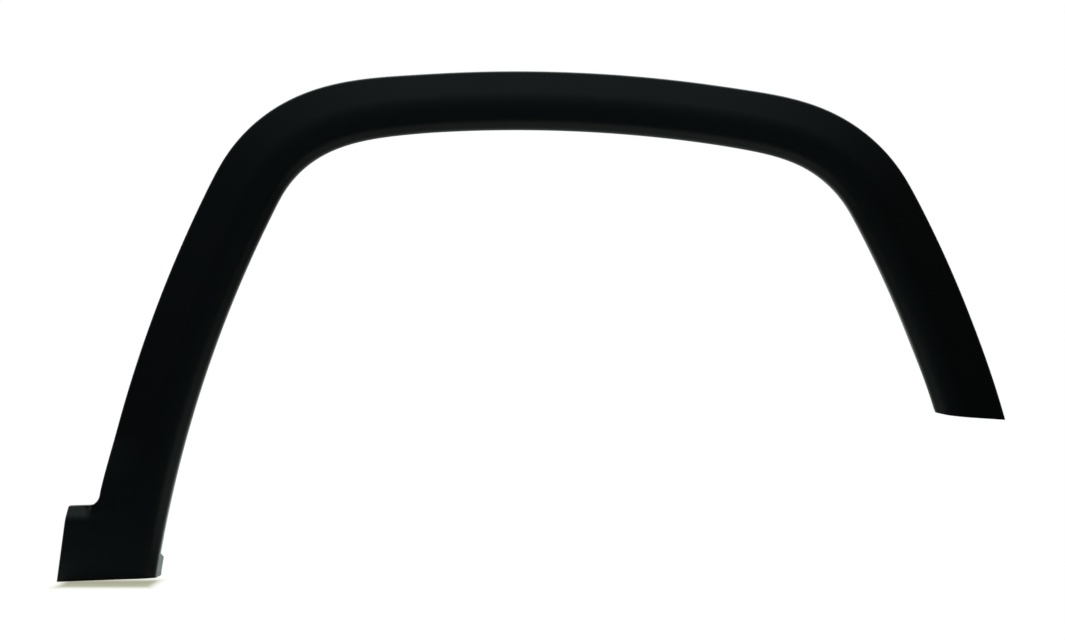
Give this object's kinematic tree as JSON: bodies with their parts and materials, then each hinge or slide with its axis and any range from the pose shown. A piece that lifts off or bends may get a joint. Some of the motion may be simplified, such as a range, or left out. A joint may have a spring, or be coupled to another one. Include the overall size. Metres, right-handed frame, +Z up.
{
  "type": "wheel arch trim",
  "caption": "Black moulded wheel arch trim: a wide convex strip that frames the wheel opening, ending in a block-shaped foot that meets the sill.",
  "frame": {"origin": "middle of the row of four crown clips, on the plane of the clip seats", "axes": "+Y into the vehicle, along the clip holes, +X along the length with the foot at -X, +Z up"},
  "size_m": [1.0024, 0.0531, 0.5403],
  "materials": {
    "moulded_black": "fine grained, moulded in colour"
  },
  "bodies": {
    "root": {"arch_trim": "moulded_black"}
  },
  "joints": []
}
